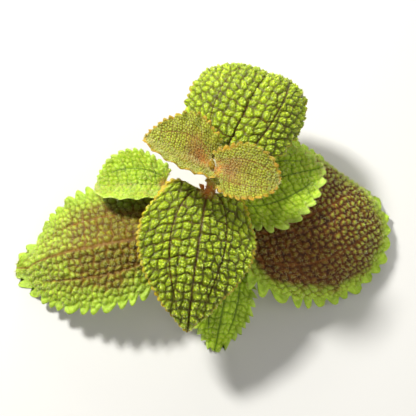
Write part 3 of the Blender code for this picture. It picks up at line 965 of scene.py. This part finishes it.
def stipule_shape(base, outward):
    """Thin pointed scale: its width falls as a power of the height and it bows outwards."""
    u = np.linspace(0, 1, STIPULE_RINGS)[:, None, None]
    outward = np.array(outward, float)
    side = np.cross([0, 0, 1], outward)
    turn = around(STIPULE_SIDES)[:, None]
    width = STIPULE_WIDTH * (1 - u) ** 0.7 + 0.08
    depth = STIPULE_THICKNESS * (1 - 0.7 * u)
    rise = np.array([0, 0, STIPULE_HEIGHT]) + outward * STIPULE_LEAN
    bow = outward * STIPULE_BOW * np.sin(np.pi * u)
    return close_ends(
        np.array(base) + outward * 0.35 + rise * u + bow
        + side * width * np.cos(turn) + outward * depth * np.sin(turn)
    )


def grow_stem_piece(node, rings, hairs, skin):
    """One stem, bud or scale with the hairs on it, away from its closed ends."""
    settle(shell(node + "_skin", rings, {}, skin), node)
    body = rings[4:-4]
    outward = unit(body - body.mean(1, keepdims=True))
    grow_hairs(node, body, outward, np.ones(body.shape[:2]), hairs)


class SPRIG_OT_stems(bpy.types.Operator):
    """Builds the main stem and the two side shoots with their hairs"""

    bl_idname = "sprig.stems"
    bl_label = "Stems"

    def execute(self, context):
        skin = shared_material("hairy_stem_skin", stem_skin, *colours("stalk"))
        grow_stem_piece("main_stem", stem_shape(), STEM_HAIRS, skin)
        for node, points in SHOOTS.items():
            grow_stem_piece(node, shoot_shape(points), SHOOT_HAIRS, skin)
        return {"FINISHED"}


class SPRIG_OT_buds(bpy.types.Operator):
    """Builds the buds and the scales at the stem's joints"""

    bl_idname = "sprig.buds"
    bl_label = "Buds and Scales"

    def execute(self, context):
        scale = shared_material("hairy_stem_skin", stem_skin, *colours("stalk"))
        bud = shared_material("downy_bud_skin", stem_skin, *colours("young_rim"))
        for node, (base, tip, radius) in BUDS.items():
            grow_stem_piece(node, bud_shape(base, tip, radius), BUD_HAIRS, bud)
        for node, (base, outward) in STIPULES.items():
            grow_stem_piece(node, stipule_shape(base, outward), STIPULE_HAIRS, scale)
        return {"FINISHED"}


def soft_light(name, place, size, power):
    """Square area light in millimetres from the sprig's middle, aimed at it."""
    light = bpy.data.lights.new(name, "AREA")
    light.size, light.energy = size * MM, power
    obj = bpy.data.objects.new(name, light)
    obj.location = Vector(place) * MM
    obj.rotation_euler = (Vector(LIGHT_AIM) * MM - obj.location).to_track_quat("-Z", "Y").to_euler()
    bpy.context.scene.collection.objects.link(obj)


class SPRIG_OT_stage(bpy.types.Operator):
    """Builds the pale floor, the soft lights and the camera"""

    bl_idname = "sprig.stage"
    bl_label = "Stage"

    def execute(self, context):
        scene = context.scene
        corners = FLOOR_HALF_SIDE * np.array([(-1, -1, 0), (1, -1, 0), (1, 1, 0), (-1, 1, 0)])
        paper = stage_paint("matt_backdrop_paper", *colours("floor"))
        floor = add_mesh("floor", corners, [(0, 1, 2, 3)], paper)
        for name, (place, size, power) in LIGHTS.items():
            soft_light(name, place, size, power)
        world = bpy.data.worlds.new("studio")
        scene.world = world
        world.use_nodes = True
        background = world.node_tree.nodes["Background"]
        background.inputs["Color"].default_value = (1, 1, 1, 1)
        background.inputs["Strength"].default_value = SKY_STRENGTH
        scene.view_settings.view_transform = "Standard"
        camera = bpy.data.cameras.new("camera")
        camera.lens = VIEW_LENS
        camera.clip_start = CAMERA_CLIP_START
        obj = bpy.data.objects.new("camera", camera)
        target = (VIEW_TARGET - FOOTPRINT_CENTRE) * MM
        obj.location = target - direction(-RAD * VIEW_ELEVATION, np.pi / 2) * VIEW_DISTANCE * MM
        obj.rotation_euler = (RAD * (90 - VIEW_ELEVATION), 0, 0)
        scene.collection.objects.link(obj)
        scene.camera = obj
        return {"FINISHED"}


class SPRIG_PT_panel(bpy.types.Panel):
    """Lists the sprig's operators and sizes"""

    bl_idname = "SPRIG_PT_panel"
    bl_label = "Friendship Plant Sprig"
    bl_space_type = "VIEW_3D"
    bl_region_type = "UI"
    bl_category = "Sprig"

    def draw(self, context):
        for operator in OPERATORS:
            self.layout.operator(operator.bl_idname)
        for group in (context.scene.sprig_sizes, context.scene.sprig_colours):
            box = self.layout.box()
            for name in group.__annotations__:
                box.prop(group, name)


OPERATORS = (
    SPRIG_OT_bright_leaves,
    SPRIG_OT_bronze_leaves,
    SPRIG_OT_young_leaves,
    SPRIG_OT_side_leaves,
    SPRIG_OT_stems,
    SPRIG_OT_buds,
    SPRIG_OT_stage,
)
CLASSES = (SprigSizes, SprigColours, *OPERATORS, SPRIG_PT_panel)


def register():
    for cls in CLASSES:
        bpy.utils.register_class(cls)
    bpy.types.Scene.sprig_sizes = bpy.props.PointerProperty(type=SprigSizes)
    bpy.types.Scene.sprig_colours = bpy.props.PointerProperty(type=SprigColours)


def unregister():
    del bpy.types.Scene.sprig_colours
    del bpy.types.Scene.sprig_sizes
    for cls in reversed(CLASSES):
        bpy.utils.unregister_class(cls)


def main():
    register()
    bpy.ops.sprig.bright_leaves()
    bpy.ops.sprig.bronze_leaves()
    bpy.ops.sprig.young_leaves()
    bpy.ops.sprig.side_leaves()
    bpy.ops.sprig.stems()
    bpy.ops.sprig.buds()
    bpy.ops.sprig.stage()
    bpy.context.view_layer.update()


if __name__ == "__main__":
    main()
